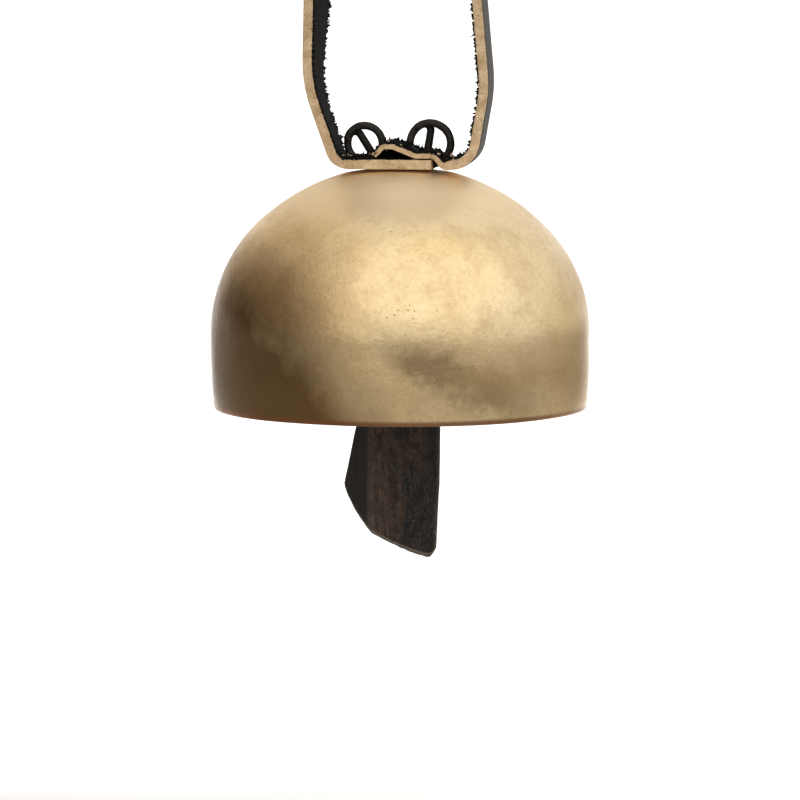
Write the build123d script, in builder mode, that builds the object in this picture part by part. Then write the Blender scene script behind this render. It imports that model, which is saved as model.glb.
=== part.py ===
"""A hanging temple bell: a brass dome carried by a leather loop, rung by a swinging wooden clapper.

The frame is +Z up with its origin at the hang point, inside the top of the leather loop, on the bell's axis.
X runs across the loop and Y along the strap's width.  All sizes are in millimetres.
"""

from math import asin, atan2, cos, hypot, pi, radians, sin
import os

from build123d import *

# ---- driving dimensions ---------------------------------------------------------------------------------
bell_diameter = 140.0
bell_height = 88.0
bell_wall = 2.5
rim_round = 0.8  # radius on both edges of the rim
crown_radius = 127.0  # the nearly flat crown
crown_slope = 8.0  # slope in degrees where the crown ends
knuckle_radius = 24.0  # soft turn between crown and shoulder
knuckle_slope = 16.0
shoulder_slope = 45.0  # slope where the shoulder turns into the flank
straight_wall = 10.0  # upright stretch below the flank
tuck_height = 18.0  # last stretch, which draws in towards the rim
tuck_angle = 8.0

loop_height = 150.0  # crown of the bell to the inside of the loop's top
loop_top_radius = 11.0  # inside radius at the top, where a hook carries it
loop_width = 65.0  # across the middle of the strap's thickness, at its widest
left_wide_height = 34.0  # height above the crown where the left side stops spreading
right_wide_height = 27.0
shoulder_height = 80.0  # height above the crown where both sides start to close
shoulder_width = 62.0
left_corner = 22.5  # distance from the axis to the sharp corner that the left bend rounds off
right_corner = 27.5
left_corner_bend = 6.6
right_corner_bend = 9.0
wide_bend = 50.0
shoulder_bend = 120.0

strap_width = 25.0
strap_thick = 4.0
lower_end = 12.8  # where the lower layer is cut off, right of the axis
tongue_thick = 2.4  # the upper end is pared down to this
layer_gap = 0.15  # between the crown, the lower layer and the upper one
step_clear = 0.8  # from the lower layer's end to the top of the step over it
step_run = 4.2  # length of that step
step_bend = 2.0
pared_flat = 1.0  # pared leather lying flat before the step
pare_length = 1.2
hump_start = 6.5  # right of the axis
hump_end = -8.0  # cut end of the upper layer
hump_crest = 5.0  # length of the hump's top before rounding
hump_slope = 5.5  # length of its right side
hump_rise = 3.4
hump_bend = 4.0

wire_diameter = 2.9  # the iron hanger wire
leg_spacing = 20.0  # between the two legs, centre to centre
leg_clearance = 0.1  # radial, in the crown's holes and in the leather
bail_depth = 13.0  # crown's underside to the wire's centre at the bail's lowest point
bail_bend = 7.0
leg_lead = 3.5  # crown's underside to the corner where a leg turns in
leg_bend = 4.0
lean_height = 5.0  # height above the crown where the legs start to lean
lean_bend = 4.0
curl_bend = 2.3  # the tight turn from a leg into its curl
curl_sweep = 372.0  # degrees a curl runs round
curl_lead = 130.0  # degrees over which it comes forward of its leg
curl_gap = 0.25  # air where it passes in front of its leg
curl_points = 30
left_curl_radius = 6.55  # to the wire's centre
left_curl_x = -12.8
left_curl_height = 9.4  # the curl's centre above the crown
left_leg_lean = 32.0  # degrees the leg leans outward above the strap
right_curl_radius = 7.6
right_curl_x = 11.5
right_curl_height = 9.5
right_leg_lean = 9.0

link_wire = 2.4
link_room = 3.6  # air across between the link's two sides and the clapper's neck
link_corner = 2.2
link_turn = 39.0  # degrees the link and the clapper are turned about the bell's axis
hang_gap = 0.1  # slack in each hanging contact

clapper_room = 3.6  # air between the bail and the top of the clapper
clapper_reach = 58.8  # how far the rounding of the lower end reaches below the rim
clapper_width = 31.8
clapper_top_width = 24.0
clapper_foot_width = 29.6
clapper_top_round = 8.0
clapper_shift = -1.0  # middle of the clapper's width from the axis
clapper_ahead = 0.5  # middle of the neck ahead of the axis
clapper_neck = 10.0  # thickness inside the bell
clapper_swell = 19.0  # thickness of the lower end
swell_start = 6.0  # below the rim
swell_end = 30.0
clapper_round = 50.0  # radius of the lower end
clapper_round_x = 25.5  # centre of that rounding, right of the axis
hole_room = 3.0  # how much wider the cross hole is than the link's wire
hole_below_top = 7.0  # wood above the hole

# ---- heights that follow from them --------------------------------------------------------------------------
crown_z = -loop_height
rim_z = crown_z - bell_height
bell_radius = bell_diameter / 2
wire_radius = wire_diameter / 2
leg_x = leg_spacing / 2
bail_z = crown_z - bell_wall - bail_depth
clapper_top_z = bail_z - wire_radius - clapper_room
clapper_foot_z = rim_z - clapper_reach
clapper_front = clapper_neck / 2 + clapper_ahead
link_width = clapper_neck + link_room + link_wire  # wire centre to wire centre, and across the round top
hole_diameter = link_wire + hole_room
hole_z = clapper_top_z - hole_below_top - hole_diameter / 2
link_top_z = bail_z + wire_radius + link_wire / 2 + hang_gap
link_bottom_z = hole_z + hole_diameter / 2 - link_wire / 2 - hang_gap


def save(part, name):
    """Labels a finished piece and writes it as its own STEP file."""
    part.label = name
    export_step(part, os.path.join("parts", name + ".step"))


os.makedirs("parts", exist_ok=True)


# ---- bell: one spun brass shell -----------------------------------------------------------------------------
# The profile is a chain of tangent arcs.  The shoulder and flank radii are solved so that the chain ends
# upright at the bell's full radius, whatever its height and diameter.
def slope_step(radius, start, end):
    """How far out and down an arc of this radius runs while its slope changes from start to end."""
    out = radius * (sin(radians(end)) - sin(radians(start)))
    down = radius * (cos(radians(start)) - cos(radians(end)))
    return out, down


crown_out, crown_down = slope_step(crown_radius, 0, crown_slope)
knuckle_out, knuckle_down = slope_step(knuckle_radius, crown_slope, knuckle_slope)
dome_out = bell_radius - crown_out - knuckle_out
dome_down = bell_height - crown_down - knuckle_down - straight_wall - tuck_height
shoulder_out, shoulder_down = slope_step(1, knuckle_slope, shoulder_slope)
flank_out, flank_down = slope_step(1, shoulder_slope, 90)
solve_by = shoulder_out * flank_down - flank_out * shoulder_down
shoulder_radius = (dome_out * flank_down - flank_out * dome_down) / solve_by
flank_radius = (shoulder_out * dome_down - dome_out * shoulder_down) / solve_by
tuck_radius = tuck_height / sin(radians(tuck_angle))


def shell_line(inset):
    """Draws the shell's profile, inset from its outer face, and returns its two ends."""
    crown = JernArc((0, crown_z - inset), (1, 0), crown_radius - inset, -crown_slope)
    knuckle = JernArc(crown @ 1, crown % 1, knuckle_radius - inset, crown_slope - knuckle_slope)
    shoulder = JernArc(knuckle @ 1, knuckle % 1, shoulder_radius - inset, knuckle_slope - shoulder_slope)
    flank = JernArc(shoulder @ 1, shoulder % 1, flank_radius - inset, shoulder_slope - 90)
    wall = Line(flank @ 1, flank @ 1 + (flank % 1) * straight_wall)
    tuck = JernArc(wall @ 1, wall % 1, tuck_radius - inset, -tuck_angle)
    return crown @ 0, tuck @ 1


with BuildPart() as bell_shell:
    with BuildSketch(Plane.XZ):
        with BuildLine():
            outer_top, outer_rim = shell_line(0)
            inner_top, inner_rim = shell_line(bell_wall)
            Line(outer_top, inner_top)
            Line(outer_rim, inner_rim)
        make_face()
    revolve(axis=Axis.Z)
    fillet(bell_shell.edges().filter_by(GeomType.CIRCLE).group_by(Axis.Z)[0], rim_round)
    with Locations((-leg_x, 0, crown_z), (leg_x, 0, crown_z)):
        Hole(wire_radius + leg_clearance, depth=3 * bell_wall)
save(bell_shell.part, "bell_shell")


# ---- the one wire path, used by the hanger and by its channel through the leather -----------------------------
def corner_reach(radius, across, along):
    """Distance from a circle's centre to the corner where its two mirrored tangents meet.

    Each tangent starts from a point lying across and along from that centre.
    """
    return radius / sin(atan2(across, along) - asin(radius / hypot(across, along)))


def draw_curl(centre, radius, lean, side):
    """Draws a leg's tight turn and the curl after it, and returns the leg's foot and top.

    side is -1 for the left leg and 1 for the right one.
    """
    foot = Vector(side * leg_x, 0, crown_z + lean_height)
    rise = Vector(side * sin(radians(lean)), 0, cos(radians(lean)))
    left = Vector(-rise.Z, 0, rise.X)
    reach = radius - curl_bend
    turn = asin((curl_bend - (centre - foot).dot(left)) / reach)
    turn_centre = centre + left * (reach * sin(turn)) + rise * (reach * cos(turn))
    outward = (turn_centre - centre).normalized()
    top = turn_centre - left * curl_bend
    meet = turn_centre + outward * curl_bend
    middle = turn_centre + (outward - left).normalized() * curl_bend
    bend = ThreePointArc(top, middle, meet)
    start = atan2(outward.Z, outward.X)
    lift = (wire_diameter + curl_gap) / 2
    points = [meet]
    headings = [bend % 1]
    for step in range(1, curl_points + 1):
        turned = curl_sweep * step / curl_points
        angle = start + radians(turned)
        lead = pi * min(1, turned / curl_lead)
        points.append(centre + Vector(radius * cos(angle), lift * (cos(lead) - 1), radius * sin(angle)))
        forward = lift * sin(lead) * pi / radians(curl_lead)
        headings.append(Vector(-radius * sin(angle), -forward, radius * cos(angle)).normalized())
    Spline(*points, tangents=headings)
    return foot, top


with BuildLine() as hanger_path:
    left_centre = Vector(left_curl_x, 0, crown_z + left_curl_height)
    right_centre = Vector(right_curl_x, 0, crown_z + right_curl_height)
    left_foot, left_top = draw_curl(left_centre, left_curl_radius, left_leg_lean, -1)
    right_foot, right_top = draw_curl(right_centre, right_curl_radius, right_leg_lean, 1)
    turn_in_z = crown_z - bell_wall - leg_lead
    bail_centre_z = bail_z + bail_bend
    bail_corner_z = bail_centre_z - corner_reach(bail_bend, leg_x, turn_in_z - bail_centre_z)
    FilletPolyline(
        left_top,
        left_foot,
        (-leg_x, 0, turn_in_z),
        (0, 0, bail_corner_z),
        (leg_x, 0, turn_in_z),
        right_foot,
        right_top,
        radius=[lean_bend, leg_bend, bail_bend, leg_bend, lean_bend],
    )
hanger_line = hanger_path.wires()[0]


# ---- hanger wire: a bail under the crown whose two legs rise through it and end in curls above the strap ------
with BuildPart() as hanger_wire:
    with BuildSketch(Plane(origin=hanger_line @ 0, z_dir=hanger_line % 0)):
        Circle(wire_radius)
    sweep(path=hanger_line)
save(hanger_wire.part, "hanger_wire")


# ---- strap: one leather strip, a loop whose two ends are layered on the crown ---------------------------------
with BuildPart() as wire_channel:
    with BuildSketch(Plane(origin=hanger_line @ 0, z_dir=hanger_line % 0)):
        Circle(wire_radius + leg_clearance)
    sweep(path=hanger_line)

with BuildPart() as strap:
    lower_z = crown_z + layer_gap + strap_thick / 2
    flat_tongue_z = crown_z + layer_gap + tongue_thick / 2
    high_tongue_z = crown_z + 2 * layer_gap + strap_thick + tongue_thick / 2
    crest_z = high_tongue_z + hump_rise
    step_top = lower_end + step_clear
    step_foot = step_top + step_run
    pare_end = step_foot + pared_flat
    pare_start = pare_end + pare_length
    top_bend = loop_top_radius + strap_thick / 2
    close_z = crown_z + shoulder_height
    side_x = loop_width / 2
    peak_z = corner_reach(top_bend, shoulder_width / 2, -loop_top_radius - close_z) - loop_top_radius
    with BuildSketch(Plane.XZ):
        with BuildLine() as loop_line:
            FilletPolyline(
                (lower_end, lower_z),
                (-left_corner, lower_z),
                (-side_x, crown_z + left_wide_height),
                (-shoulder_width / 2, close_z),
                (0, peak_z),
                (shoulder_width / 2, close_z),
                (side_x, crown_z + right_wide_height),
                (right_corner, lower_z),
                (pare_start, lower_z),
                radius=[
                    left_corner_bend,
                    wide_bend,
                    shoulder_bend,
                    top_bend,
                    shoulder_bend,
                    wide_bend,
                    right_corner_bend,
                ],
            )
        trace(line_width=strap_thick)
        with BuildLine() as paring:
            Polyline(
                (pare_start, lower_z - strap_thick / 2),
                (pare_start, lower_z + strap_thick / 2),
                (pare_end, flat_tongue_z + tongue_thick / 2),
                (pare_end, flat_tongue_z - tongue_thick / 2),
                close=True,
            )
        make_face()
        with BuildLine() as tongue_line:
            FilletPolyline(
                (pare_end, flat_tongue_z),
                (step_foot, flat_tongue_z),
                (step_top, high_tongue_z),
                (hump_start, high_tongue_z),
                (hump_start - hump_slope, crest_z),
                (hump_start - hump_slope - hump_crest, crest_z),
                (hump_end, high_tongue_z),
                radius=[step_bend, step_bend, hump_bend, hump_bend / 2, hump_bend / 2],
            )
        trace(line_width=tongue_thick)
    extrude(amount=strap_width / 2, both=True)
    add(wire_channel.part, mode=Mode.SUBTRACT)
save(strap.part, "strap")


# ---- clapper link: a closed wire link that hangs on the bail and carries the clapper ---------------------------
turned = radians(link_turn)
to_right = Vector(cos(turned), sin(turned), 0)
to_back = Vector(-sin(turned), cos(turned), 0)
face_plane = Plane(origin=(0, 0, 0), x_dir=to_right, z_dir=-to_back)
side_plane = Plane(origin=(0, 0, 0), x_dir=to_back, z_dir=to_right)

with BuildPart() as clapper_link:
    half_link = link_width / 2
    with BuildLine(side_plane) as link_line:
        arch_z = link_top_z - half_link
        ThreePointArc((half_link, arch_z), (0, link_top_z), (-half_link, arch_z))
        FilletPolyline(
            (-half_link, arch_z),
            (-half_link, link_bottom_z),
            (half_link, link_bottom_z),
            (half_link, arch_z),
            radius=link_corner,
        )
    link_start = link_line.wires()[0]
    with BuildSketch(Plane(origin=link_start @ 0, z_dir=link_start % 0)):
        Circle(link_wire / 2)
    sweep(path=link_start)
save(clapper_link.part, "clapper_link")


# ---- clapper: a hewn wooden block, thin inside the bell, thick and rounded off below it -------------------------
with BuildPart() as clapper:
    half_width = clapper_width / 2
    with BuildSketch(face_plane):
        with BuildLine():
            Polyline(
                (-clapper_top_width / 2, clapper_top_z),
                (clapper_top_width / 2, clapper_top_z),
                (clapper_shift + half_width, rim_z),
                (clapper_shift + half_width, rim_z - swell_end),
                (clapper_shift - half_width + clapper_foot_width, clapper_foot_z),
                (clapper_shift - half_width, clapper_foot_z),
                (clapper_shift - half_width, rim_z),
                close=True,
            )
        make_face()
        fillet(vertices().group_by(Axis.Y)[-1], clapper_top_round)
    extrude(amount=clapper_width, both=True)
    with BuildSketch(side_plane):
        with BuildLine():
            Polyline(
                (-clapper_front, clapper_top_z),
                (-clapper_front, clapper_foot_z),
                (clapper_swell - clapper_front, clapper_foot_z),
                (clapper_swell - clapper_front, rim_z - swell_end),
                (clapper_neck - clapper_front, rim_z - swell_start),
                (clapper_neck - clapper_front, clapper_top_z),
                close=True,
            )
        make_face()
    extrude(amount=clapper_width, both=True, mode=Mode.INTERSECT)
    with BuildSketch(Plane.XZ):
        round_z = clapper_foot_z + clapper_round
        with Locations((clapper_round_x, round_z)):
            Circle(clapper_round)
        with Locations((clapper_round_x, clapper_top_z)):
            Rectangle(2 * clapper_round, 2 * (clapper_top_z - round_z), align=(Align.CENTER, Align.CENTER))
    extrude(amount=clapper_width, both=True, mode=Mode.INTERSECT)
    with BuildSketch(face_plane):
        with Locations((0, hole_z)):
            Circle(hole_diameter / 2)
    extrude(amount=clapper_width, both=True, mode=Mode.SUBTRACT)
save(clapper.part, "clapper")
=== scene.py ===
"""Looks of the hanging temple bell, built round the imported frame.

Metres, +Z up, the origin inside the top of the leather loop, X across the loop, Y along the strap's width.
"""

import bpy
import numpy as np
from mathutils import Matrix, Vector, noise


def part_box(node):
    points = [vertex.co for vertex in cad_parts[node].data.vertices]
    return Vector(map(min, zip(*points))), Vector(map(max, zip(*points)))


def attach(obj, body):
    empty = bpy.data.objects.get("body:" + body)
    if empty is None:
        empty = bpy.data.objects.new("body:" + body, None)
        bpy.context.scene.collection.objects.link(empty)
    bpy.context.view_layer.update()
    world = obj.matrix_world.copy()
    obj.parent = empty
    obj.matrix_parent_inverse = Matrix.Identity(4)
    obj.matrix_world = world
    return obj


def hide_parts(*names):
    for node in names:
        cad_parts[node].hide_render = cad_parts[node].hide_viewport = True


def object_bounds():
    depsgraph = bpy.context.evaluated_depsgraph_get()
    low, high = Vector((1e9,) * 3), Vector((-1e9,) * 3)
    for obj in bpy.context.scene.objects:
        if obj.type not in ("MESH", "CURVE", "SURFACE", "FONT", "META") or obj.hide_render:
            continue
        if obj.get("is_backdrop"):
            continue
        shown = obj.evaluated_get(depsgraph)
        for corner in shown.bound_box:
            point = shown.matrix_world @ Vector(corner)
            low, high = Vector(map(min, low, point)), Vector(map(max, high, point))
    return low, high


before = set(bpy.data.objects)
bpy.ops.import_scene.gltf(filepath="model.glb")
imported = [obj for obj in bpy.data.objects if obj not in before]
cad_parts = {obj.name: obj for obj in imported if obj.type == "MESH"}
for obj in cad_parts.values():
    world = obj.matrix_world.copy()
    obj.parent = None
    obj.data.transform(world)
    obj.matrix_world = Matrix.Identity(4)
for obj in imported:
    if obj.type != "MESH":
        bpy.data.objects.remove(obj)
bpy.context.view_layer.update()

# ---- bell shell -----------------------------------------------------------------------------------------
# A thin dome of yellowed brass, spun and then dressed by hand, so its skin is a little uneven.  Two small
# holes through the crown let the hanger wire up, but this dome is drawn closed over them; nothing else is
# fixed to it.
MM = 0.001
crown_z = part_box("bell_shell")[1].z
rim_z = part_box("bell_shell")[0].z
bell_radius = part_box("bell_shell")[1].x
bell_wall = 2.5 * MM
bell_arcs = ((127.0, 0, 8), (24.0, 8, 16), (76.7, 16, 45), (54.6, 45, 90))  # radius in mm, slopes in degrees
straight_wall = 10 * MM
tuck_height, tuck_angle = 18 * MM, 8
bell_turns = 288
bell_dents = ((0.46, 0.036, 3.1), (0.11, 0.016, 8.2), (0.015, 0.005, 5.0))  # mm deep, metres wide, seed
rim_wander = 0.25 * MM  # how far the rim's height wanders


def mesh_object(name, points, faces, smooth=True):
    """Makes one mesh object from points and faces and links it to the scene."""
    mesh = bpy.data.meshes.new(name)
    mesh.from_pydata([tuple(p) for p in points], [], [tuple(f) for f in faces])
    mesh.validate()
    for polygon in mesh.polygons:
        polygon.use_smooth = smooth
    made = bpy.data.objects.new(name, mesh)
    bpy.context.scene.collection.objects.link(made)
    return made


def bumpy(point, size, seed=0.0):
    """Smooth noise from about -1 to 1 at a point, with lumps of the given size."""
    return noise.noise(Vector((point[0] / size + seed, point[1] / size - seed, point[2] / size + 2 * seed)))


def arc_steps(radius, start, end, count):
    """Runs out and down along an arc while its slope changes, as a list of (out, down) and the end slope."""
    slopes = np.radians(np.linspace(start, end, count + 1))[1:]
    begin = np.radians(start)
    return [(radius * (np.sin(s) - np.sin(begin)), radius * (np.cos(begin) - np.cos(s))) for s in slopes]


def shell_profile(inset):
    """The dome's outline from crown to rim, inset from the outer face."""
    r, z = 0.0, crown_z - inset
    line = [(r, z)]
    for radius, start, end in bell_arcs:
        steps = arc_steps(radius * MM - inset, start, end, max(4, int(radius * (end - start) / 60)))
        line += [(r + out, z - down) for out, down in steps]
        r, z = line[-1]
    for share in np.linspace(0, 1, 7)[1:]:
        line.append((r, z - straight_wall * share))
    z -= straight_wall
    tuck_radius = tuck_height / np.sin(np.radians(tuck_angle)) - inset
    for slope in np.radians(np.linspace(0, tuck_angle, 12))[1:]:
        line.append((r - tuck_radius * (1 - np.cos(slope)), z - tuck_radius * np.sin(slope)))
    return line


outer = shell_profile(0)
inner = shell_profile(bell_wall)
edge_out, edge_in = np.array(outer[-1]), np.array(inner[-1])
rim_middle = (edge_out + edge_in) / 2
rim_half = (edge_out - edge_in) / 2
rim_down = np.array((rim_half[1], -rim_half[0])) / np.linalg.norm(rim_half)
rim = []
for angle in np.radians(np.linspace(0, 180, 9))[1:-1]:
    squared = np.sign(np.cos(angle)) * abs(np.cos(angle)) ** 0.6
    rim.append(rim_middle + rim_half * squared + rim_down * 0.7 * MM * np.sin(angle) ** 0.6)
outside = [np.array(p) for p in outer[:-1]] + [edge_out]
inside = [edge_in] + [np.array(p) for p in inner[-2::-1]]
section = outside + rim + inside
bell_points = [(0.0, 0.0, section[0][1])]
for r, z in section[1:-1]:
    for turn in range(bell_turns):
        a = 2 * np.pi * turn / bell_turns
        p = Vector((r * np.cos(a), r * np.sin(a), z))
        depth = sum(deep * MM * bumpy(p, wide, seed) for deep, wide, seed in bell_dents)
        depth *= min(1.0, r / 0.02)
        near_rim = min(1, max(0, (rim_z + 0.02 - z) / 0.02))
        low = rim_wander * bumpy((np.cos(a), np.sin(a), 0), 0.7, 1.4) * near_rim
        outward = 1 + depth / max(r, 0.01)
        bell_points.append((p.x * outward, p.y * outward, z + depth * 0.4 - low))
bell_points.append((0.0, 0.0, section[-1][1]))
rings = len(section) - 2
bell_faces = [(0, 1 + t, 1 + (t + 1) % bell_turns) for t in range(bell_turns)]
for row in range(rings - 1):
    a, b = 1 + row * bell_turns, 1 + (row + 1) * bell_turns
    for t in range(bell_turns):
        n = (t + 1) % bell_turns
        bell_faces.append((a + t, b + t, b + n, a + n))
last = 1 + (rings - 1) * bell_turns
bell_faces += [(len(bell_points) - 1, last + (t + 1) % bell_turns, last + t) for t in range(bell_turns)]
bell = mesh_object("bell_dome", bell_points, bell_faces)


class Nodes:
    """A material's node tree with short calls for the nodes used here."""

    def __init__(self, name):
        self.material = bpy.data.materials.new(name)
        self.material.use_nodes = True
        self.tree = self.material.node_tree
        self.shader = self.tree.nodes["Principled BSDF"]
        self.place = self.tree.nodes.new("ShaderNodeTexCoord").outputs["Object"]

    def node(self, kind, **values):
        made = self.tree.nodes.new("ShaderNode" + kind)
        for key, value in values.items():
            if key in made.inputs:
                self.put(made.inputs[key], value)
            else:
                setattr(made, key, value)
        return made

    def put(self, socket, value):
        if isinstance(value, bpy.types.NodeSocket):
            self.tree.links.new(value, socket)
        else:
            socket.default_value = value

    def stretched(self, scale):
        made = self.node("Mapping", Vector=self.place)
        made.inputs["Scale"].default_value = scale
        return made.outputs["Vector"]

    def noise(self, scale, detail=4.0, rough=0.55, place=None, distortion=0.0):
        made = self.node("TexNoise", Vector=place or self.place, Scale=scale, Detail=detail, Roughness=rough)
        made.inputs["Distortion"].default_value = distortion
        return made.outputs["Fac"]

    def ramp(self, value, *stops):
        """Turns a value into a colour or a grey by stops of (position, colour or grey)."""
        made = self.node("ValToRGB", Fac=value)
        points = made.color_ramp.elements
        while len(points) < len(stops):
            points.new(0.5)
        for point, (where, colour) in zip(points, stops):
            point.position = where
            point.color = (*colour, 1) if isinstance(colour, tuple) else (colour, colour, colour, 1)
        return made.outputs["Color"]

    def mix(self, share, one, two, blend="MIX"):
        made = self.node("MixRGB", blend_type=blend)
        for socket, value in zip(made.inputs, (share, one, two)):
            self.put(socket, (*value, 1) if isinstance(value, tuple) else value)
        return made.outputs["Color"]

    def maths(self, operation, one, two=0.0):
        made = self.node("Math", operation=operation)
        self.put(made.inputs[0], one)
        self.put(made.inputs[1], two)
        return made.outputs["Value"]

    def bump(self, height, distance, strength=1.0, under=None):
        made = self.node("Bump", Height=height, Distance=distance, Strength=strength)
        if under is not None:
            self.put(made.inputs["Normal"], under)
        return made.outputs["Normal"]

    def finish(self, **sockets):
        for name, value in sockets.items():
            self.put(self.shader.inputs[name.replace("_", " ")], value)
        return self.material


# Yellow metal, cloudy in tone and finely pitted with grime.
brass = Nodes("brass")
clouds = brass.noise(15, 5, 0.55, distortion=0.3)
fine = brass.noise(520, 5, 0.7)
gold = brass.mix(brass.ramp(clouds, (0.34, 0.0), (0.66, 1.0)), (0.79, 0.59, 0.305), (0.92, 0.75, 0.48))
gold = brass.mix(brass.ramp(fine, (0.36, 0.20), (0.56, 0.0)), gold, (0.42, 0.27, 0.12))
grime = brass.ramp(brass.noise(120, 8, 0.78), (0.47, 0.0), (0.64, 0.34))
gold = brass.mix(grime, gold, (0.50, 0.34, 0.17))

# Brown patina mixed with painted shade, deepest low on the left.
bell_spot = brass.node("SeparateXYZ", Vector=brass.place)
leftward = brass.maths("MULTIPLY", bell_spot.outputs["X"], -0.94 / bell_radius)
frontward = brass.maths("MULTIPLY", bell_spot.outputs["Y"], -0.34 / bell_radius)
downward = brass.maths("MULTIPLY", bell_spot.outputs["Z"], -9.0)
patina_and_shade = brass.maths("ADD", brass.maths("ADD", leftward, frontward), brass.maths("ADD", downward, -2.0))
patina_and_shade = brass.maths("ADD", patina_and_shade, brass.maths("MULTIPLY", brass.noise(45, 6, 0.65), 0.35))
gold = brass.mix(brass.ramp(patina_and_shade, (0.50, 0.0), (0.93, 0.96)), gold, (0.155, 0.086, 0.035))

# A dark mark that slants down across the front; a painted reflection of the dark horizon as a band low down
# on the right; and painted shade round the right side.
streak_way = brass.maths("ADD", bell_spot.outputs["Z"], brass.maths("MULTIPLY", bell_spot.outputs["X"], 0.40))
streak_way = brass.maths("ADD", streak_way, brass.maths("MULTIPLY", brass.noise(48, 6, 0.7), 0.034))
streak_off = brass.maths("ABSOLUTE", brass.maths("ADD", streak_way, 0.1945))
streak = brass.ramp(brass.maths("MULTIPLY", streak_off, 100), (0.25, 0.72), (1.15, 0.0))
streak_long = brass.ramp(
    brass.maths("MULTIPLY", bell_spot.outputs["X"], 10), (0.0, 0.0), (0.10, 1.0), (0.42, 1.0), (0.62, 0.0)
)
streak_front = brass.ramp(brass.maths("MULTIPLY", bell_spot.outputs["Y"], -10), (0.20, 0.0), (0.40, 1.0))
streak = brass.maths("MULTIPLY", brass.maths("MULTIPLY", streak, streak_long), streak_front)
gold = brass.mix(streak, gold, (0.29, 0.205, 0.105))
# Painted reflection: a dark band low on the right stands in for the dark horizon mirrored in the brass.
low_down = brass.maths("MULTIPLY", bell_spot.outputs["Z"], -4)
dark_reflection_band = brass.ramp(low_down, (0.84, 0.0), (0.885, 0.75), (0.92, 0.15))
band_right = brass.ramp(brass.maths("MULTIPLY", bell_spot.outputs["X"], 14), (0.25, 0.0), (0.5, 1.0))
gold = brass.mix(brass.maths("MULTIPLY", dark_reflection_band, band_right), gold, (0.50, 0.35, 0.17))
# Painted shade: the right side is darkened where the room it reflects is darker.
rightward = brass.maths("MULTIPLY", bell_spot.outputs["X"], 1 / bell_radius)
gold = brass.mix(brass.ramp(rightward, (0.80, 0.0), (0.97, 0.75)), gold, (0.46, 0.31, 0.12))

# Scattered dark specks, and dirt along the rim.
dots = brass.node("TexVoronoi", Vector=brass.place, Scale=480.0).outputs["Distance"]
sparse = brass.ramp(brass.noise(75, 4, 0.7), (0.50, 0.0), (0.62, 1.0))
specks = brass.maths("MULTIPLY", brass.ramp(dots, (0.07, 1.0), (0.18, 0.0)), sparse)
gold = brass.mix(brass.maths("MULTIPLY", specks, 0.55), gold, (0.16, 0.10, 0.05))
above_rim = brass.maths("SUBTRACT", bell_spot.outputs["Z"], rim_z)
rim_dirt = brass.ramp(brass.maths("MULTIPLY", above_rim, 400), (0.18, 0.85), (0.62, 0.0))
gold = brass.mix(rim_dirt, gold, (0.24, 0.10, 0.045))

# A smeared polish, duller on the grime and on the crown, which the leather has rubbed; the crown is also
# painted pale, a painted reflection of the strap over it.
smear = brass.ramp(brass.noise(38, 5, 0.6), (0.30, 0.20), (0.72, 0.30))
brass_rough = brass.maths("ADD", smear, brass.maths("MULTIPLY", specks, 0.25))
brass_rough = brass.maths("ADD", brass_rough, brass.maths("MULTIPLY", grime, 0.22))
below_crown = brass.maths("SUBTRACT", bell_spot.outputs["Z"], crown_z)
crown_matt_and_painted_light = brass.ramp(brass.maths("MULTIPLY", below_crown, -40), (0.30, 0.30), (0.85, 0.0))
brass_rough = brass.maths("ADD", brass_rough, crown_matt_and_painted_light)
# Painted reflection: the crown's colour is lightened toward cream.
gold = brass.mix(brass.maths("MULTIPLY", crown_matt_and_painted_light, 2.5), gold, (1.0, 0.84, 0.60))
brass_skin = brass.bump(brass.noise(60, 2, 0.4), 0.0009, 0.35)
brass_skin = brass.bump(fine, 0.00010, 0.8, under=brass_skin)
brass_skin = brass.bump(brass.maths("MULTIPLY", specks, -1.0), 0.00012, 0.8, under=brass_skin)
brass.finish(Base_Color=gold, Metallic=1.0, Roughness=brass_rough, Normal=brass_skin)
bell.data.materials.append(brass.material)
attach(bell, "bell")
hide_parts("bell_shell")

# ---- hanger wire ------------------------------------------------------------------------------------------
# One blackened iron wire.  It dips under the crown as a bail, its two legs come up through the crown and the
# leather, and each ends in a curl that holds the strap down.
wire_radius = 1.45 * MM
leg_x = 10 * MM
bail_z = crown_z - 15.5 * MM
bail_bend = 7 * MM
leg_turn_z = crown_z - 6 * MM
lean_z = crown_z + 5 * MM
leg_bend = 4 * MM
curl_bend = 2.3 * MM
curl_turned = 372  # degrees that a curl runs round
curl_crossed = 130  # degrees in which it steps in front of its own start
curl_clear = 0.25 * MM
curl_sides = (  # side, centre x and height above the crown, radius, leg's lean, all in mm and degrees
    (-1, -12.8, 9.4, 6.55, 32),
    (1, 11.5, 9.5, 7.6, 9),
)


def rounded(points, radii, step):
    """A line through points with its inner corners rounded, as closely spaced points."""
    points = [np.array(p, float) for p in points]
    line = [points[0]]
    for before, corner, after, radius in zip(points, points[1:], points[2:], radii):
        come, go = corner - before, after - corner
        come, go = come / np.linalg.norm(come), go / np.linalg.norm(go)
        turn = np.arccos(np.clip(come @ go, -1, 1))
        if turn < 1e-4:
            line.append(corner)
            continue
        back = radius * np.tan(turn / 2)
        start = corner - come * back
        across = go - come * (come @ go)
        across /= np.linalg.norm(across)
        count = max(3, int(radius * turn / step))
        for a in np.linspace(0, turn, count + 1):
            line.append(start + come * radius * np.sin(a) + across * radius * (1 - np.cos(a)))
    line.append(points[-1])
    return even(line, step)


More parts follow.
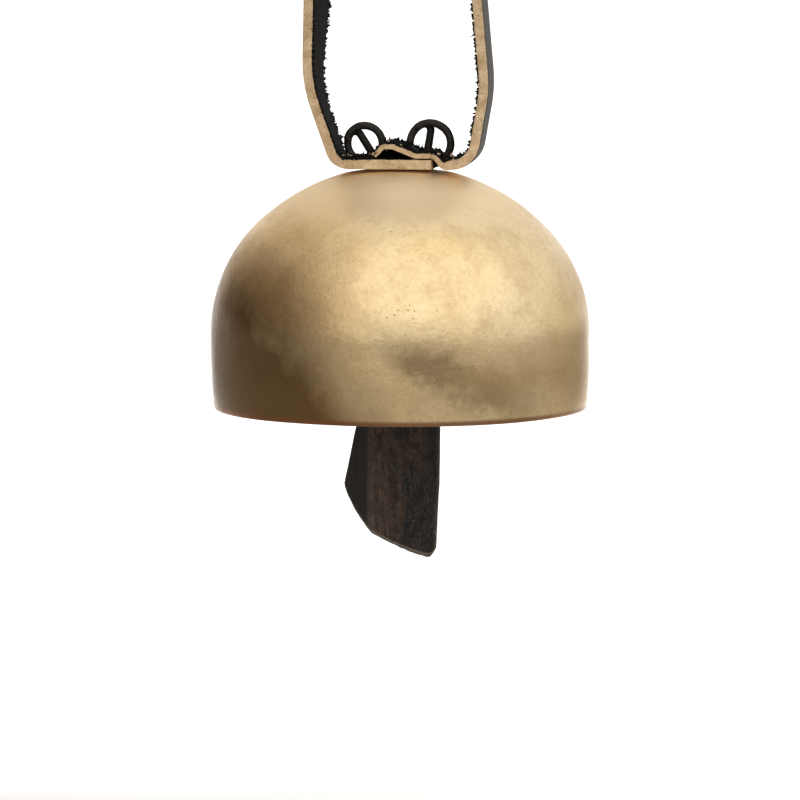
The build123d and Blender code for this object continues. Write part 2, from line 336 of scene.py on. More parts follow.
def even(line, step):
    """The same line with its points evenly spaced."""
    line = np.array(line)
    run = np.concatenate([[0], np.cumsum(np.linalg.norm(np.diff(line, axis=0), axis=1))])
    keep = np.concatenate([[True], np.diff(run) > 1e-9])
    wanted = np.linspace(0, run[-1], max(2, int(round(run[-1] / step)) + 1))
    return np.stack([np.interp(wanted, run[keep], line[keep, k]) for k in range(line.shape[1])], axis=1)


def corner_reach(radius, across, along):
    """Distance from a circle's centre to the corner where its two mirrored tangents meet."""
    return radius / np.sin(np.arctan2(across, along) - np.arcsin(radius / np.hypot(across, along)))


def curl(side, centre_x, height, radius, lean):
    """A leg's tight turn and the curl after it, from the leg's top to the curl's end."""
    centre = np.array((centre_x * MM, 0, crown_z + height * MM))
    radius = radius * MM
    lean = np.radians(lean)
    foot = np.array((side * leg_x, 0, lean_z))
    rise = np.array((side * np.sin(lean), 0, np.cos(lean)))
    left = np.array((-rise[2], 0, rise[0]))
    reach = radius - curl_bend
    turn = np.arcsin((curl_bend - (centre - foot) @ left) / reach)
    turn_centre = centre + left * reach * np.sin(turn) + rise * reach * np.cos(turn)
    outward = (turn_centre - centre) / reach
    start = np.arctan2(-left[2], -left[0])
    meet = np.arctan2(outward[2], outward[0])
    line = []
    for a in np.linspace(start, start + (meet - start) % (2 * np.pi), 10):
        line.append(turn_centre + curl_bend * np.array((np.cos(a), 0, np.sin(a))))
    for turned in np.linspace(0, curl_turned, 90)[1:]:
        a = meet + np.radians(turned)
        forward = (2 * wire_radius + curl_clear) * (1 - np.cos(np.pi * min(1, turned / curl_crossed))) / 2
        line.append(centre + np.array((radius * np.cos(a), -forward, radius * np.sin(a))))
    return foot, line


def tube(name, line, radius, sides, closed=False, seed=0.0, rough=0.05):
    """A round bar along a line, slightly uneven, with domed ends where it isn't closed."""
    line = np.array(line)
    count = len(line)
    ahead = np.roll(line, -1, 0) - np.roll(line, 1, 0)
    if not closed:
        ahead[0], ahead[-1] = line[1] - line[0], line[-1] - line[-2]
    ahead /= np.linalg.norm(ahead, axis=1)[:, None]
    side = np.cross(ahead[0], (0, 1, 0) if abs(ahead[0][1]) < 0.9 else (1, 0, 0))
    frames = []
    for forward in ahead:
        side = side - forward * (side @ forward)
        side /= np.linalg.norm(side)
        frames.append((side, np.cross(forward, side)))
    twist = 0.0
    if closed:
        first, end = frames[0], frames[-1]
        twist = np.arctan2(first[0] @ end[1], first[0] @ end[0])
    rows = [(line[k], frames[k], 1.0, twist * k / count) for k in range(count)]
    if not closed:
        dome = [(0.55, 0.94), (0.85, 0.72), (1.0, 0.35)]
        rows = (
            [(line[0] - ahead[0] * radius * 0.45 * out, frames[0], wide, 0.0) for out, wide in reversed(dome)]
            + rows
            + [(line[-1] + ahead[-1] * radius * 0.45 * out, frames[-1], wide, 0.0) for out, wide in dome]
        )
    points = []
    for centre, (one, two), wide, turn in rows:
        for k in range(sides):
            a = 2 * np.pi * k / sides + turn
            off = one * np.cos(a) + two * np.sin(a)
            here = centre + off * radius
            swell = 1 + rough * bumpy(here, 0.0035, seed) + 0.5 * rough * bumpy(here, 0.0011, seed + 4)
            points.append(centre + off * radius * wide * swell)
    faces = []
    total = len(rows)
    for row in range(total if closed else total - 1):
        a, b = row * sides, ((row + 1) % total) * sides
        for k in range(sides):
            n = (k + 1) % sides
            faces.append((a + k, a + n, b + n, b + k))
    if not closed:
        faces.append(tuple(reversed(range(sides))))
        faces.append(tuple(range((total - 1) * sides, total * sides)))
    return mesh_object(name, points, faces)


left_foot, left_curl = curl(*curl_sides[0])
right_foot, right_curl = curl(*curl_sides[1])
bail_corner = bail_z + bail_bend - corner_reach(bail_bend, leg_x, leg_turn_z - bail_z - bail_bend)
legs = rounded(
    [left_curl[0], left_foot, (-leg_x, 0, leg_turn_z), (0, 0, bail_corner),
     (leg_x, 0, leg_turn_z), right_foot, right_curl[0]],
    [leg_bend, leg_bend, bail_bend, leg_bend, leg_bend],
    0.6 * MM,
)
hanger_line = even(left_curl[::-1] + list(legs[1:-1]) + right_curl, 0.45 * MM)
hanger = tube("hanger_wire_bar", hanger_line, wire_radius, 18, seed=2.0, rough=0.06)

iron = Nodes("iron")
scale_marks = iron.noise(420, 6, 0.65)
rust = iron.ramp(iron.noise(160, 5, 0.6), (0.48, 0.0), (0.70, 1.0))
iron_colour = iron.mix(rust, (0.014, 0.0135, 0.013), (0.034, 0.026, 0.021))
iron_colour = iron.mix(iron.ramp(scale_marks, (0.55, 0.0), (0.75, 0.6)), iron_colour, (0.075, 0.068, 0.06))
iron_skin = iron.bump(scale_marks, 0.00025, 0.6)
iron.finish(
    Base_Color=iron_colour,
    Metallic=0.2,
    Specular_IOR_Level=0.3,
    Roughness=iron.ramp(scale_marks, (0.3, 0.42), (0.7, 0.62)),
    Normal=iron_skin,
)
hanger.data.materials.append(iron.material)
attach(hanger, "bell")
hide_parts("hanger_wire")

# ---- strap ------------------------------------------------------------------------------------------------
# One strip of heavy harness leather, dyed black inside and dark brown outside, its cut edges left raw and
# tan.  It makes the hanging loop; its lower end lies on the crown and its pared upper end is laced over it.
strap_width = 25 * MM
strap_thick = 4 * MM
tongue_thick = 2.2 * MM
gap = 0.15 * MM
lower_z = gap + strap_thick / 2
flat_z = gap + tongue_thick / 2
high_z = 2 * gap + strap_thick + tongue_thick / 2
crest_z = high_z + 3.4 * MM
loop_height, waist_height, waist_half = 150 * MM, 80 * MM, 31 * MM
top_round = 11 * MM  # inside radius of the loop's top
peak_z = (corner_reach(top_round + strap_thick / 2, waist_half, loop_height - top_round - waist_height)
          - top_round + loop_height)
loop_corners = [  # x and height above the crown
    (12.8, lower_z / MM), (-22.7, lower_z / MM), (-33.2, 32), (-32.2, 80), (0, peak_z / MM + 1.2), (28, 80),
    (32.4, 30), (27.5, lower_z / MM), (19.2, lower_z / MM), (17.6, flat_z / MM), (13.6, high_z / MM),
    (7.0, high_z / MM), (-1.6, crest_z / MM), (-5.0, crest_z / MM), (-8.3, high_z / MM),
]
loop_bends = [6.6, 50, 120, 13, 120, 50, 9, 2, 2, 2, 4, 2.2, 2]
strap_line = rounded(loop_corners, loop_bends, 0.55) * MM
strap_run = np.concatenate([[0], np.cumsum(np.linalg.norm(np.diff(strap_line, axis=0), axis=1))])
on_crown = strap_line[:, 1] < 12 * MM
second_half = strap_run > strap_run[-1] / 2
thin = np.clip((19.4 * MM - strap_line[:, 0]) / (4.5 * MM), 0, 1) * (second_half & on_crown)
strap_depth = strap_thick + (tongue_thick - strap_thick) * (3 * thin**2 - 2 * thin**3)
strap_ahead = np.gradient(strap_line, axis=0)
strap_ahead /= np.linalg.norm(strap_ahead, axis=1)[:, None]
inward = np.stack([strap_ahead[:, 1], -strap_ahead[:, 0]], axis=1)  # right of the way: the loop's inside

across, through = 22, 6  # faces over the strap's width and through its thickness
back_turned = 3.4 * MM


def strap_twist(x, z):
    """How far the back edge of the left side is turned inwards at a height above the crown."""
    return back_turned * np.interp(z, (20 * MM, 62 * MM, 95 * MM, 140 * MM), (0, 1, 1, 0)) * (x < 0)


def strap_ring(index):
    """One cross-section of the strap as points with the face they lie on: 0 inner, 1 edge, 2 outer."""
    x, z = strap_line[index]
    nx, nz = inward[index]
    half_t, run = strap_depth[index] / 2, strap_run[index]
    sway = 0.25 * MM * noise.noise(Vector((run / 0.03, 1.7, 0)))
    sway += 0.12 * MM * noise.noise(Vector((run / 0.006, 5, 0)))
    width_front = strap_width / 2 + sway
    width_back = strap_width / 2 + 0.3 * MM * noise.noise(Vector((run / 0.025, 9.1, 0)))
    twist = strap_twist(x, z)
    ring = []

    def place(y, t, side):
        p = Vector((x + nx * t + twist * (y / strap_width + 0.5), y, crown_z + z + nz * t))
        if side == 0:
            puff = 0.10 * MM * bumpy(p, 0.0022, 2) + 0.06 * MM * bumpy(p, 0.0009, 7)
        elif side == 2:
            puff = 0.05 * MM * bumpy(p, 0.004, 4)
        else:
            puff = 0.0
        ring.append((p.x + nx * puff, p.y, p.z + nz * puff, side))

    for k in range(across + 1):  # inner face, front to back
        share = k / across
        crowned = 1 - 0.10 * abs(2 * share - 1) ** 6
        place(-width_front + (width_front + width_back) * share, half_t * crowned, 0)
    for k in range(1, through):  # back edge
        t = half_t * (1 - 2 * k / through)
        rag = 0.14 * MM * bumpy((x, t * 3, z), 0.0013, 6) + 0.10 * MM * bumpy((x, t, z), 0.004, 3)
        place(width_back + rag, t, 1)
    for k in range(across + 1):  # outer face, back to front
        share = k / across
        crowned = 1 - 0.14 * abs(2 * share - 1) ** 6
        place(width_back - (width_front + width_back) * share, -half_t * crowned, 2)
    for k in range(1, through):  # front edge
        t = -half_t * (1 - 2 * k / through)
        rag = 0.14 * MM * bumpy((x, t * 3, z), 0.0013, 1) + 0.10 * MM * bumpy((x, t, z), 0.004, 8)
        place(-width_front - rag, t, 1)
    return ring


strap_points, strap_sides = [], []
for index in range(len(strap_line)):
    for px, py, pz, side in strap_ring(index):
        strap_points.append((px, py, pz))
        strap_sides.append(side)
around = 2 * (across + 1) + 2 * (through - 1)
strap_faces, strap_face_sides = [], []
for row in range(len(strap_line) - 1):
    for k in range(around):
        n = (k + 1) % around
        here, after = row * around, (row + 1) * around
        strap_faces.append((here + k, after + k, after + n, here + n))
        if k < across:
            strap_face_sides.append(0)
        elif across + through <= k < 2 * across + through:
            strap_face_sides.append(2)
        else:
            strap_face_sides.append(1)
for row, back in ((0, False), (len(strap_line) - 1, True)):  # cut ends, closed by strips across the thickness
    base = row * around
    inner_row = [base + k for k in range(across + 1)]
    outer_row = [base + across + through + k for k in range(across + 1)][::-1]
    back_side = [base + across + k for k in range(1, through)]
    front_side = [base + 2 * across + through + k for k in range(1, through)][::-1]
    grid = [inner_row]
    for k in range(1, through):
        line = []
        for j in range(across + 1):
            if j == 0:
                line.append(front_side[k - 1])
            elif j == across:
                line.append(back_side[k - 1])
            else:
                a, b = Vector(strap_points[inner_row[j]]), Vector(strap_points[outer_row[j]])
                p = a.lerp(b, k / through)
                rag = 0.15 * MM * bumpy(p, 0.0013, 4)
                forward = strap_ahead[row] * (1 if back else -1)
                strap_points.append((p.x + forward[0] * rag, p.y, p.z + forward[1] * rag))
                line.append(len(strap_points) - 1)
        grid.append(line)
    grid.append(outer_row)
    for one, two in zip(grid, grid[1:]):
        for j in range(across):
            quad = (one[j], one[j + 1], two[j + 1], two[j])
            strap_faces.append(quad[::-1] if back else quad)
            strap_face_sides.append(1)
strap = mesh_object("leather_strap", strap_points, strap_faces)
for polygon, side in zip(strap.data.polygons, strap_face_sides):
    on_brass = side == 2 and polygon.center.z < crown_z + 1.5 * MM  # left undyed where it lies on the crown
    polygon.material_index = 1 if on_brass else side

flesh = Nodes("leather_flesh")
nap = flesh.noise(900, 6, 0.7)
lint = flesh.ramp(flesh.noise(420, 5, 0.7), (0.58, 0.0), (0.76, 0.6))
flesh_colour = flesh.mix(lint, (0.010, 0.010, 0.0095), (0.060, 0.052, 0.044))
flesh.finish(
    Base_Color=flesh_colour, Roughness=0.95, Specular_IOR_Level=0.12, Normal=flesh.bump(nap, 0.0007, 0.9)
)
raw = Nodes("leather_edge")
fibres = raw.noise(1100, 5, 0.7)
blotch = raw.noise(190, 5, 0.65)
tan_colour = raw.mix(raw.ramp(blotch, (0.35, 0.0), (0.65, 1.0)), (0.60, 0.42, 0.24), (0.86, 0.67, 0.44))
tan_colour = raw.mix(raw.ramp(fibres, (0.30, 0.70), (0.48, 0.0)), tan_colour, (0.26, 0.16, 0.085))
raw.finish(
    Base_Color=tan_colour, Roughness=0.85, Specular_IOR_Level=0.25, Normal=raw.bump(fibres, 0.0005, 0.9)
)
grain = Nodes("leather_grain")
pebbles = grain.noise(700, 5, 0.6)
handled = grain.ramp(grain.noise(90, 5, 0.6), (0.35, 0.0), (0.7, 1.0))
grain_colour = grain.mix(handled, (0.022, 0.018, 0.016), (0.062, 0.048, 0.040))
grain.finish(
    Base_Color=grain_colour, Roughness=0.62, Specular_IOR_Level=0.3, Normal=grain.bump(pebbles, 0.0003, 0.6)
)
for made in (flesh, raw, grain):
    strap.data.materials.append(made.material)
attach(strap, "bell")
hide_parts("strap")

# ---- frayed fibres of the strap ---------------------------------------------------------------------------
# Short torn fibres of the leather's black inner side, which stand up along its cut edges and thickly over the
# laced ends, where a few are bare and tan.  They are part of the strap itself.
rng = np.random.default_rng(11)
fray_points, fray_faces, fray_sides = [], [], []


def tuft(root, way, length, radius, side):
    """One torn fibre: a bent cone of five sides standing on root, with the strap's material of that side."""
    way = way / np.linalg.norm(way)
    one = np.cross(way, rng.normal(size=3))
    one /= np.linalg.norm(one)
    two = np.cross(way, one)
    bend = rng.normal(size=3) * 0.35 * length
    base = len(fray_points)
    for share, wide in ((-0.3, 0.9), (0.2, 1.0), (0.6, 0.75), (0.95, 0.35)):
        centre = root + way * length * share + bend * share * share
        for k in range(5):
            a = 2 * np.pi * k / 5
            fray_points.append(centre + radius * wide * (one * np.cos(a) + two * np.sin(a)))
    for row in range(3):
        for k in range(5):
            n = (k + 1) % 5
            here, after = base + row * 5, base + row * 5 + 5
            fray_faces.append((here + k, here + n, after + n, after + k))
            fray_sides.append(side)
    fray_faces.append(tuple(base + 15 + k for k in range(5)))
    fray_faces.append(tuple(base + 4 - k for k in range(5)))
    fray_sides.extend((side, side))


def strap_place(index, y, lift):
    """A point on the strap's inner side, and the way out of the leather there."""
    x, z = strap_line[index]
    nx, nz = inward[index]
    out = strap_depth[index] / 2 + lift
    turned = strap_twist(x, z) * (y / strap_width + 0.5)
    return np.array((x + nx * out + turned, y, crown_z + z + nz * out)), np.array((nx, 0, nz))


covered = (~second_half) & (strap_line[:, 0] > -9.5 * MM) & on_crown  # the stretch under the upper layer
laced = on_crown & (np.abs(strap_line[:, 0]) < 19 * MM) & ~covered
for index in range(2, len(strap_line) - 2):
    if covered[index]:
        continue
    for edge_side, often in ((-1, 2.2), (1, 1.3)):
        for _ in range(rng.poisson(often * (1.7 if laced[index] else 1.0))):
            y = edge_side * (strap_width / 2 - abs(rng.normal()) * 0.5 * MM)
            root, out = strap_place(index, y, 0)
            way = out * rng.uniform(0.3, 1.0) + rng.normal(size=3) * 0.35 + np.array((0, edge_side * 0.45, 0))
            length = min(1.3, 0.30 + rng.exponential(0.26)) * MM
            tuft(root, way, length, rng.uniform(0.20, 0.48) * MM, 0)
    if laced[index]:
        for _ in range(rng.poisson(3.2)):
            root, out = strap_place(index, rng.uniform(-1, 1) * strap_width * 0.48, 0)
            way = out + rng.normal(size=3) * 0.6
            length, radius = rng.uniform(0.4, 1.2) * MM, rng.uniform(0.22, 0.50) * MM
            tuft(root, way, length, radius, 1 if rng.random() < 0.05 else 0)
clumps = (  # x and height above the crown of the thick frays, how many, and how far they spread, in mm
    (-13.6, 4.6, 70, 2.1), (-9.4, 5.6, 36, 1.0), (3.6, 9.6, 34, 1.5),
    (14.2, 5.4, 46, 1.8), (-18.5, 4.4, 40, 1.6), (19.5, 4.2, 30, 1.4),
)
for x, z, count, spread in clumps:
    for _ in range(count):
        root_x = x * MM + rng.normal() * spread * 0.6 * MM
        root_y = -strap_width / 2 + rng.uniform(-0.2, 5) * MM
        root = np.array((root_x, root_y, crown_z + z * MM + rng.uniform(-0.3, 0.5) * spread * MM))
        way = np.array((rng.normal() * 0.7, -0.3 + rng.normal() * 0.5, rng.uniform(0.0, 1.0)))
        length, radius = rng.uniform(0.5, 1.5) * MM, rng.uniform(0.2, 0.5) * MM
        tuft(root, way, length, radius, 1 if rng.random() < 0.22 else 0)
# Black fuzz in the hollow under the hump, partly real fray and partly standing in for the shade there.
for _ in range(240):  # the fuzz that fills the hollow under the hump
    root = np.array((rng.uniform(-6.5, 2.8) * MM, rng.uniform(-6, 12) * MM, crown_z + (gap + strap_thick)))
    way = np.array((rng.normal() * 0.3, 0, 1))
    tuft(root, way, rng.uniform(1.0, 3.2) * MM, rng.uniform(0.3, 0.6) * MM, 0)
frays = mesh_object("strap_frays", fray_points, fray_faces)
frays.data.materials.append(flesh.material)
frays.data.materials.append(raw.material)
for polygon, side in zip(frays.data.polygons, fray_sides):
    polygon.material_index = side
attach(frays, "bell")

# ---- clapper link -----------------------------------------------------------------------------------------
# A closed oblong link of thinner iron wire inside the bell.  It hangs on the bail and its straight lower side
# passes through the clapper's cross hole; it stands turned like the clapper.
link_low, link_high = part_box("clapper_link")
link_radius = 1.2 * MM
link_half = 8 * MM
link_turn = np.radians(39)
link_top = link_high.z - link_radius
link_bottom = link_low.z + link_radius
link_corner = 2.2 * MM
link_arch = [(link_half * np.cos(a), link_top - link_half + link_half * np.sin(a))
             for a in np.linspace(0, np.pi, 30)]
link_side = rounded([link_arch[-1], (-link_half, link_bottom), (link_half, link_bottom), link_arch[0]],
                    [link_corner, link_corner], 0.5 * MM)
link_outline = even(link_arch + list(link_side[1:]), 0.5 * MM)[:-1]
link_line = [(-np.sin(link_turn) * v, np.cos(link_turn) * v, z) for v, z in link_outline]
link = tube("clapper_link_wire", link_line, link_radius, 16, closed=True, seed=6.0, rough=0.04)
link.data.materials.append(iron.material)
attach(link, "link")
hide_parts("clapper_link")

# ---- clapper ----------------------------------------------------------------------------------------------
# A block of hardwood hewn to shape, charred and oiled nearly black, with its grain running up and down.
# It is thin inside the bell and thick below it, with worn edges, and hangs by a cross hole on the link.
clapper_top, clapper_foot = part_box("clapper")[1].z, rim_z - 58.8 * MM
clapper_front = -5.5 * MM
top_rounding = 8 * MM
clapper_edge = 1.3 * MM  # radius of the worn upright edges
right_way = np.array((np.cos(link_turn), np.sin(link_turn)))
back_way = np.array((-np.sin(link_turn), np.cos(link_turn)))


def clapper_sides(z):
    """Left, right, front and back of the block at a height, measured along its own two level directions."""
    heights = (clapper_foot, rim_z - 30 * MM, rim_z, clapper_top)
    right = np.interp(z, heights, (12.7 * MM, 14.9 * MM, 14.9 * MM, 12 * MM))
    left = np.interp(z, heights, (-16.9 * MM, -16.9 * MM, -16.9 * MM, -12 * MM))
    into_top = max(0.0, top_rounding - (clapper_top - z))
    pull = top_rounding - np.sqrt(top_rounding**2 - into_top**2)
    rear = np.interp(z, (rim_z - 30 * MM, rim_z - 6 * MM), (13.5 * MM, 4.5 * MM))
    return left + pull, right - pull, clapper_front, rear


def cut_height(x):
    """Height of the rounded lower end at a distance right of the axis."""
    worn_corner = max(0.0, x - 9.5 * MM) ** 2 / (4.6 * MM)
    share = min(0.97, (40 * MM - x) / (64 * MM))
    return rim_z - 17.6 * MM - 44.6 * MM * np.sqrt(1 - share**2) + worn_corner


long_side, short_side, arc_side = 40, 22, 5
walk = []  # around the block: which two sides are near, and how far along
corner_signs = ((-1, -1), (1, -1), (1, 1), (-1, 1))
for corner in range(4):
    for k in range(arc_side):
        walk.append(("arc", corner, k / (arc_side - 1)))
    steps = long_side if corner % 2 == 0 else short_side
    walk += [("run", corner, k / steps) for k in range(1, steps)]


def walk_point(step, z, inset):
    """The place of one step of the walk round the block at a height, moved inwards by inset."""
    left, right, front, rear = clapper_sides(z)
    middle = np.array(((left + right) / 2, (front + rear) / 2))
    half = np.array(((right - left) / 2, (rear - front) / 2)) - inset
    kind, corner, share = step
    if kind == "arc":
        sign = np.array(corner_signs[corner])
        angle = np.pi * (1 + corner / 2 + share / 2)
        here = middle + sign * (half - clapper_edge) + clapper_edge * np.array((np.cos(angle), np.sin(angle)))
    else:
        one, two = np.array(corner_signs[corner]), np.array(corner_signs[(corner + 1) % 4])
        along = (two - one) / 2
        here = middle + (one + along) * half + along * (half - clapper_edge) * (2 * share - 1)
    return here[0] * right_way + here[1] * back_way


foot_edge, top_edge = 1.9 * MM, 1.2 * MM
inset_rows = [  # how far in and how far up, over the worn lower edge
    (0.18 * MM, 1.45 * MM), (0.75 * MM, 0.75 * MM), (1.4 * MM, 0.2 * MM), (foot_edge, 0.0),
]
clapper_columns = []
levels = 130
for step in walk:
    column = []
    spot = walk_point(step, clapper_foot + 12 * MM, 0)
    for _ in range(4):
        spot = walk_point(step, cut_height(spot[0]), 0)
    low_z = cut_height(spot[0])
    for row in range(levels):
        z = clapper_top - top_edge + (low_z + foot_edge - clapper_top + top_edge) * row / (levels - 1)
        edge = 1.0 if step[0] == "arc" else max(0.0, 1 - min(step[2], 1 - step[2]) * 22)
        column.append((*walk_point(step, z, 0), z, edge * 0.3))
    for inset, lift in inset_rows:
        x, y = walk_point(step, low_z + lift, inset)
        column.append((x, y, max(cut_height(x), low_z - 2 * MM) + lift, 1.0 if inset < 1.0 * MM else 0.5))
    clapper_columns.append(column)
rows, total = levels + len(inset_rows), len(walk)
worn_points = [column[row] for row in range(rows) for column in clapper_columns]
clapper_points = [np.array(point[:3]) for point in worn_points]
clapper_wear = [point[3] for point in worn_points]
clapper_faces = []
for row in range(rows - 1):
    for k in range(total):
        n = (k + 1) % total
        clapper_faces.append((row * total + k, (row + 1) * total + k, (row + 1) * total + n, row * total + n))


def close_end(first, drop_to, flip):
    """Closes one end, whose ring of points starts at first, with shrinking rings and a middle point."""
    middle = np.mean([clapper_points[first + k] for k in range(total)], axis=0)
    base = first
    for shrink in (0.93, 0.8, 0.62, 0.42, 0.2):
        start = len(clapper_points)
        for k in range(total):
            edge = clapper_points[first + k]
            x, y = middle[:2] + (edge[:2] - middle[:2]) * shrink
            clapper_points.append(np.array((x, y, drop_to(x, edge[2], shrink))))
            clapper_wear.append(0.0)
        for k in range(total):
            n = (k + 1) % total
            quad = (base + k, start + k, start + n, base + n)
            clapper_faces.append(quad[::-1] if flip else quad)
        base = start
    clapper_points.append(np.array((middle[0], middle[1], drop_to(middle[0], middle[2], 0))))
    clapper_wear.append(0.0)
    for k in range(total):
        n = (k + 1) % total
        tri = (base + k, len(clapper_points) - 1, base + n)
        clapper_faces.append(tri[::-1] if flip else tri)


close_end((rows - 1) * total, lambda x, z, shrink: cut_height(x), False)
close_end(0, lambda x, z, shrink: clapper_top - top_edge * max(0, 2 * shrink - 1) ** 2, True)
clapper = mesh_object("clapper_block", clapper_points, clapper_faces)
wear = clapper.data.attributes.new("wear", "FLOAT", "POINT")
wear.data.foreach_set("value", clapper_wear)
for vertex in clapper.data.vertices:
    p, n = vertex.co.copy(), vertex.normal.copy()
    groove = noise.noise(Vector((p.x / 0.0020, p.y / 0.0020, p.z / 0.040)))
    facet = noise.noise(Vector((p.x / 0.016, p.y / 0.016, p.z / 0.026 + 4)))
    pit = noise.noise(Vector((p.x / 0.0012, p.y / 0.0012, p.z / 0.005 + 9)))
    chip = max(0.0, noise.noise(Vector((p.x / 0.004, p.y / 0.004, p.z / 0.007 + 3))) - 0.25)
    chipped = 1.6 * chip * clapper_wear[vertex.index]
    vertex.co = p + n * MM * (0.12 * groove + 0.40 * facet + 0.06 * pit - chipped)
hole_radius = 2.7 * MM
hole_z = link_bottom - 1.2 * MM
bpy.ops.mesh.primitive_cylinder_add(vertices=40, radius=hole_radius, depth=60 * MM, location=(0, 0, hole_z))
drill = bpy.context.object
drill.rotation_euler = (np.pi / 2, 0, link_turn)
drilled = clapper.modifiers.new("cross_hole", "BOOLEAN")
drilled.object, drilled.operation, drilled.solver = drill, "DIFFERENCE", "EXACT"
bpy.context.view_layer.objects.active = clapper
bpy.ops.object.modifier_apply(modifier=drilled.name)
bpy.data.objects.remove(drill)
for polygon in clapper.data.polygons:
    polygon.use_smooth = True

wood = Nodes("wood")
fibre = wood.noise(520, 6, 0.75, place=wood.stretched((1.0, 1.0, 0.30)), distortion=1.2)
streaks = wood.noise(70, 5, 0.6, place=wood.stretched((1.0, 1.0, 0.30)), distortion=0.6)
mottle = wood.noise(260, 6, 0.8)
fibre_tone = wood.ramp(fibre, (0.44, 0.0), (0.64, 1.0))
wood_colour = wood.mix(fibre_tone, (0.004, 0.0035, 0.003), (0.058, 0.045, 0.037))
wood_colour = wood.mix(wood.ramp(streaks, (0.50, 0.0), (0.62, 0.75)), wood_colour, (0.095, 0.055, 0.032))
wood_colour = wood.mix(wood.ramp(mottle, (0.46, 0.0), (0.60, 0.85)), wood_colour, (0.006, 0.0055, 0.005))
flecks = wood.ramp(wood.noise(800, 4, 0.7), (0.58, 0.0), (0.66, 0.6))
wood_colour = wood.mix(flecks, wood_colour, (0.16, 0.13, 0.11))
worn_edge = wood.node("Attribute", attribute_name="wear").outputs["Fac"]
rubbed = wood.maths("MULTIPLY", worn_edge, wood.ramp(wood.noise(330, 5, 0.7), (0.30, 0.35), (0.60, 0.85)))
along_face = wood.node("SeparateXYZ", Vector=wood.place)
along_face = wood.maths("ADD", wood.maths("MULTIPLY", along_face.outputs["X"], 77.7),
                        wood.maths("MULTIPLY", along_face.outputs["Y"], 62.9))
browner = wood.ramp(wood.maths("ABSOLUTE", wood.maths("ADD", along_face, 1.15)), (0.15, 0.75), (0.62, 0.0))
browner = wood.maths("MULTIPLY", browner, wood.ramp(fibre, (0.40, 0.1), (0.58, 1.0)))
wood_colour = wood.mix(browner, wood_colour, (0.125, 0.080, 0.050))
# Painted shade: faces that turn to the left are darkened nearly black.
facing = wood.node("SeparateXYZ", Vector=wood.node("TexCoord").outputs["Normal"])
left_facing_painted_shade = wood.ramp(wood.maths("MULTIPLY", facing.outputs["X"], -1), (0.40, 0.0), (0.68, 0.85))
wood_colour = wood.mix(left_facing_painted_shade, wood_colour, (0.0035, 0.0035, 0.003))
wood_colour = wood.mix(rubbed, wood_colour, (0.26, 0.215, 0.18))
wood_skin = wood.bump(fibre, 0.0010, 0.9)
wood_skin = wood.bump(mottle, 0.0006, 0.9, under=wood_skin)
wood.finish(Base_Color=wood_colour, Roughness=0.66, Specular_IOR_Level=0.35, Normal=wood_skin)
clapper.data.materials.append(wood.material)
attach(clapper, "clapper")
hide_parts("clapper")

# ---- studio -----------------------------------------------------------------------------------------------
# A large pale floor below the hanging bell, painted darker in front as shade and glowing as painted light in
# a strip behind the bell and far off; a soft pale room that is lighter behind the bell and darker on its
# left, and one soft oval lamp above the front right.
floor_z = -0.42
floor_corners = ((-14, -16), (14, -16), (14, 30), (-14, 30))
floor = mesh_object("studio_floor", [(x, y, floor_z) for x, y in floor_corners], [(0, 1, 2, 3)])
pale = Nodes("studio_pale")
floor_spot = pale.node("SeparateXYZ", Vector=pale.place)
sideways = pale.maths("MULTIPLY", floor_spot.outputs["Y"], 0.105)
from_middle = pale.maths("ABSOLUTE", pale.maths("ADD", floor_spot.outputs["X"], sideways))
widening = pale.maths("MAXIMUM", pale.maths("MULTIPLY", floor_spot.outputs["Y"], 0.06),
                      pale.maths("ADD", pale.maths("MULTIPLY", floor_spot.outputs["Y"], 0.45), -0.5))
strip = pale.ramp(pale.maths("SUBTRACT", from_middle, widening), (0.34, 1.0), (0.70, 0.0))
beyond = pale.ramp(floor_spot.outputs["Y"], (0.05, 0.0), (0.30, 1.0))
far = pale.ramp(pale.maths("MULTIPLY", floor_spot.outputs["Y"], 0.1), (0.45, 0.0), (0.60, 1.0))
# Painted light: the floor glows in a strip behind the bell and everywhere far off, though it is no lamp.
painted_floor_glow = pale.maths("MULTIPLY", pale.maths("MAXIMUM", pale.maths("MULTIPLY", strip, beyond), far), 0.92)
# Painted shade: the floor is darker in front of the bell.
front_painted_shade = pale.ramp(pale.maths("MULTIPLY", floor_spot.outputs["Y"], -0.5), (0.42, 0.0), (0.70, 1.0))
floor_tone = pale.mix(front_painted_shade, (0.54, 0.53, 0.52), (0.36, 0.355, 0.35))
pale.finish(Base_Color=floor_tone, Roughness=0.9, Emission_Strength=painted_floor_glow, Emission_Color=(1, 1, 1, 1))
floor.data.materials.append(pale.material)
floor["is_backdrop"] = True

world = bpy.data.worlds.new("room")
bpy.context.scene.world = world
world.use_nodes = True
tree = world.node_tree
split = tree.nodes.new("ShaderNodeSeparateXYZ")
tree.links.new(tree.nodes.new("ShaderNodeTexCoord").outputs["Generated"], split.inputs[0])


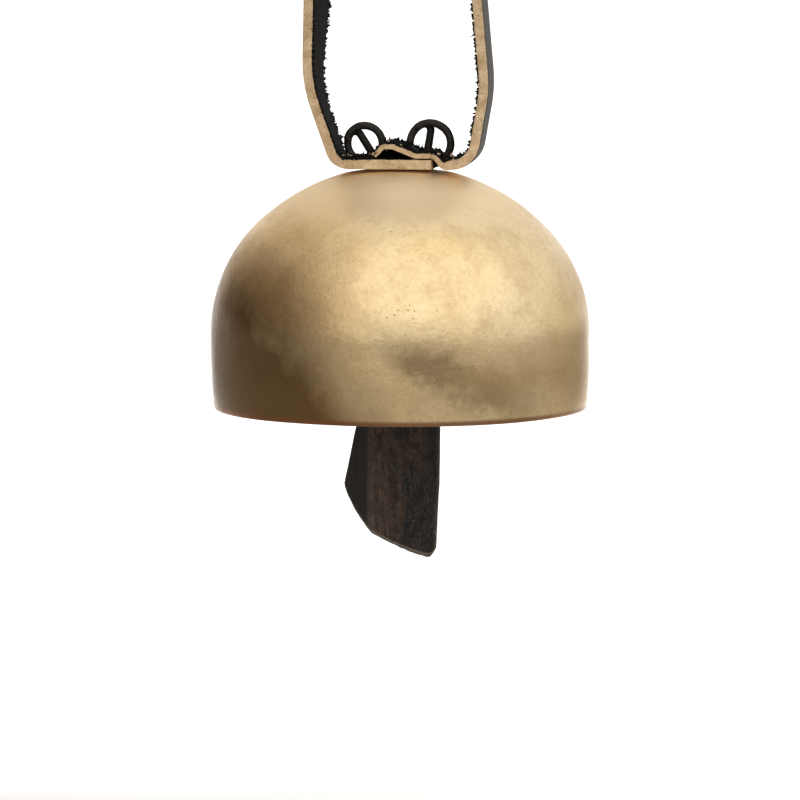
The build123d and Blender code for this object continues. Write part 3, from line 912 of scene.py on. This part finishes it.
def fade(axis, start, end, low, high):
    """A value that changes from low to high as a direction's axis goes from start to end."""
    made = tree.nodes.new("ShaderNodeMapRange")
    made.interpolation_type = "SMOOTHSTEP"
    for name, value in (("From Min", start), ("From Max", end), ("To Min", low), ("To Max", high)):
        made.inputs[name].default_value = value
    tree.links.new(split.outputs[axis], made.inputs["Value"])
    return made.outputs["Result"]


def join(operation, one, two):
    """Joins two values of the room's light with a maths node."""
    made = tree.nodes.new("ShaderNodeMath")
    made.operation = operation
    tree.links.new(one, made.inputs[0])
    tree.links.new(two, made.inputs[1])
    return made.outputs["Value"]


behind = fade("Y", 0.91, 0.985, 0.0, 1.1)
open_side = fade("X", -0.95, -0.25, 0.27, 0.93)
above = fade("Z", -0.08, 0.02, 0.28, 1.0)
room = tree.nodes["Background"].inputs
tree.links.new(join("MAXIMUM", behind, join("MULTIPLY", open_side, above)), room["Strength"])
warm = tree.nodes.new("ShaderNodeMixRGB")
tree.links.new(join("MAXIMUM", behind, fade("X", -0.95, -0.1, 0.0, 1.0)), warm.inputs["Fac"])
warm.inputs["Color1"].default_value = (1.0, 0.80, 0.60, 1)
warm.inputs["Color2"].default_value = (1, 0.97, 0.92, 1)
tree.links.new(warm.outputs["Color"], room["Color"])

lamp_place, lamp_aim = Vector((0.42, -0.75, 0.72)), Vector((0, 0, -0.2))
lamp = bpy.data.objects.new("key_lamp", bpy.data.lights.new("key_lamp", "AREA"))
lamp.data.shape = "ELLIPSE"
lamp.data.size, lamp.data.size_y = 2.7, 1.9
lamp.data.energy = 4.3
lamp.location = lamp_place
lamp.rotation_euler = (lamp_aim - lamp_place).to_track_quat("-Z", "Y").to_euler()
bpy.context.scene.collection.objects.link(lamp)
bpy.context.scene.view_settings.view_transform = "Standard"

camera = bpy.data.objects.new("camera", bpy.data.cameras.new("camera"))
bpy.context.scene.collection.objects.link(camera)
azimuth, elevation, distance = np.radians(6), np.radians(6), 2.2
target = Vector((0, 0, crown_z - 86 * MM))
back = Vector((np.sin(azimuth) * np.cos(elevation), -np.cos(azimuth) * np.cos(elevation), np.sin(elevation)))
camera.location = target + back * distance
camera.rotation_euler = back.to_track_quat("Z", "Y").to_euler()
camera.data.lens = 267
camera.data.clip_end = 100
bpy.context.scene.camera = camera

low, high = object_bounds()
